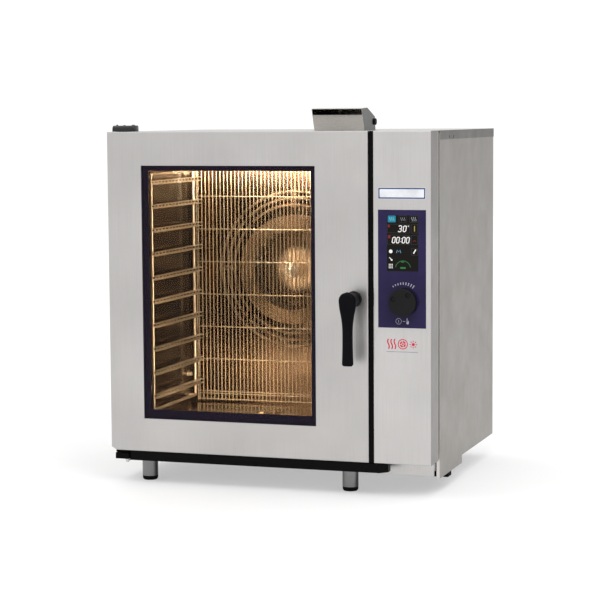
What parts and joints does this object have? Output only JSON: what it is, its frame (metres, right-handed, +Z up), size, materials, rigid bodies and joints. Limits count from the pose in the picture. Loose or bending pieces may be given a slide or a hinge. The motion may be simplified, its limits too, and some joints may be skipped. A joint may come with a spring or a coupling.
{
  "type": "combi steamer oven",
  "caption": "Free-standing steam and convection oven with a left-hung glazed door, lever latch, rotary control, tray racks and a rear fan",
  "frame": {"origin": "on the floor, under the middle of the whole appliance with its handle and rear connections", "axes": "+Z up, +Y towards the back, +X towards the control column"},
  "size_m": [0.937, 0.85, 1.056],
  "materials": {
    "door_steel": "fine vertical grain",
    "panel_steel": "satin",
    "cavity_steel": "bright rolled",
    "wire_steel": "electropolished",
    "structure_steel": "mill finish",
    "black_plastic": "fine texture",
    "black_paint": "satin black",
    "clear_glass": "clear, printed border",
    "navy_glass": "gloss, printed on the back",
    "seal_rubber": "matt",
    "foot_rubber": "matt",
    "leg_chrome": "polished",
    "wool": "mineral wool",
    "brass": "machined",
    "motor_paint": "satin",
    "circuit": "moulded"
  },
  "bodies": {
    "cabinet": {"back_panel": "panel_steel", "base_chassis": "structure_steel", "cable_gland": "black_plastic", "cavity_ceiling": "cavity_steel", "cavity_floor": "cavity_steel", "cavity_wall_left": "cavity_steel", "cavity_wall_rear": "cavity_steel", "cavity_wall_right": "cavity_steel", "column_housing": "door_steel", "control_glass": "navy_glass", "cooling_fan_frame": "black_plastic", "display_module": "circuit", "door_seal": "seal_rubber", "drain_pipe": "structure_steel", "drain_strainer": "cavity_steel", "drip_tray": "black_paint", "encoder_body": "black_plastic", "fan_guard": "wire_steel", "fan_motor": "motor_paint", "front_frame": "structure_steel", "heating_element": "wire_steel", "hinge_bracket_bottom": "structure_steel", "hinge_bracket_top": "structure_steel", "hinge_cap_top": "black_plastic", "insulation": "wool", "latch_striker": "structure_steel", "leg_sleeves": "leg_chrome", "panel_screws": "wire_steel", "plinth_front": "panel_steel", "power_module": "circuit", "rack_left": "wire_steel", "rack_right": "wire_steel", "side_panel_left": "panel_steel", "side_panel_right": "panel_steel", "steam_generator": "structure_steel", "steam_pipe": "structure_steel", "top_cover": "panel_steel", "vent_hood": "panel_steel", "vent_pipe": "structure_steel", "water_valves": "brass"},
    "door": {"door_skin": "door_steel", "door_inner_frame": "door_steel", "outer_glass": "clear_glass", "inner_glass": "clear_glass", "glass_holders": "structure_steel", "handle_boss": "black_plastic", "latch_housing": "black_plastic"},
    "handle": {"handle_lever": "black_plastic", "latch_spindle": "wire_steel"},
    "push": {"encoder_shaft": "wire_steel"},
    "knob": {"control_knob": "black_plastic"},
    "fan": {"fan_shaft": "wire_steel", "fan_impeller": "structure_steel"},
    "cooling_fan": {"cooling_fan_rotor": "black_plastic"},
    "vent": {"vent_flap": "wire_steel", "vent_knob": "black_plastic"},
    "foot_front_left": {"foot_front_left": "foot_rubber"},
    "foot_front_right": {"foot_front_right": "foot_rubber"},
    "foot_rear_left": {"foot_rear_left": "foot_rubber"},
    "foot_rear_right": {"foot_rear_right": "foot_rubber"}
  },
  "joints": [
    {"name": "door_swing", "type": "hinge", "parent": "cabinet", "child": "door", "pos_m": [-0.4465, -0.312, 0.543], "axis": [0, 0, -1], "range_deg": [0, 120]},
    {"name": "handle_turn", "type": "hinge", "parent": "door", "child": "handle", "pos_m": [0.2535, -0.35, 0.54], "axis": [0, 1, 0], "range_deg": [0, 90]},
    {"name": "knob_push", "type": "slide", "parent": "cabinet", "child": "push", "axis": [0, 1, 0], "range_m": [0, 0.0015], "stiffness_N_per_m": 1500},
    {"name": "knob_turn", "type": "hinge", "parent": "push", "child": "knob", "pos_m": [0.3935, -0.362, 0.535], "axis": [0, 1, 0], "continuous": true},
    {"name": "fan_spin", "type": "hinge", "parent": "cabinet", "child": "fan", "pos_m": [-0.108, 0.23, 0.57], "axis": [0, 1, 0], "continuous": true},
    {"name": "cooling_fan_spin", "type": "hinge", "parent": "cabinet", "child": "cooling_fan", "pos_m": [0.38, 0.375, 0.854], "axis": [0, 1, 0], "continuous": true},
    {"name": "vent_turn", "type": "hinge", "parent": "cabinet", "child": "vent", "pos_m": [0.1365, -0.164, 1.013], "axis": [0, 1, 0], "range_deg": [0, 90]},
    {"name": "foot_front_left_screw", "type": "slide", "parent": "cabinet", "child": "foot_front_left", "axis": [0, 0, -1], "range_m": [0, 0.015]},
    {"name": "foot_front_right_screw", "type": "slide", "parent": "cabinet", "child": "foot_front_right", "axis": [0, 0, -1], "range_m": [0, 0.015]},
    {"name": "foot_rear_left_screw", "type": "slide", "parent": "cabinet", "child": "foot_rear_left", "axis": [0, 0, -1], "range_m": [0, 0.015]},
    {"name": "foot_rear_right_screw", "type": "slide", "parent": "cabinet", "child": "foot_rear_right", "axis": [0, 0, -1], "range_m": [0, 0.015]}
  ]
}
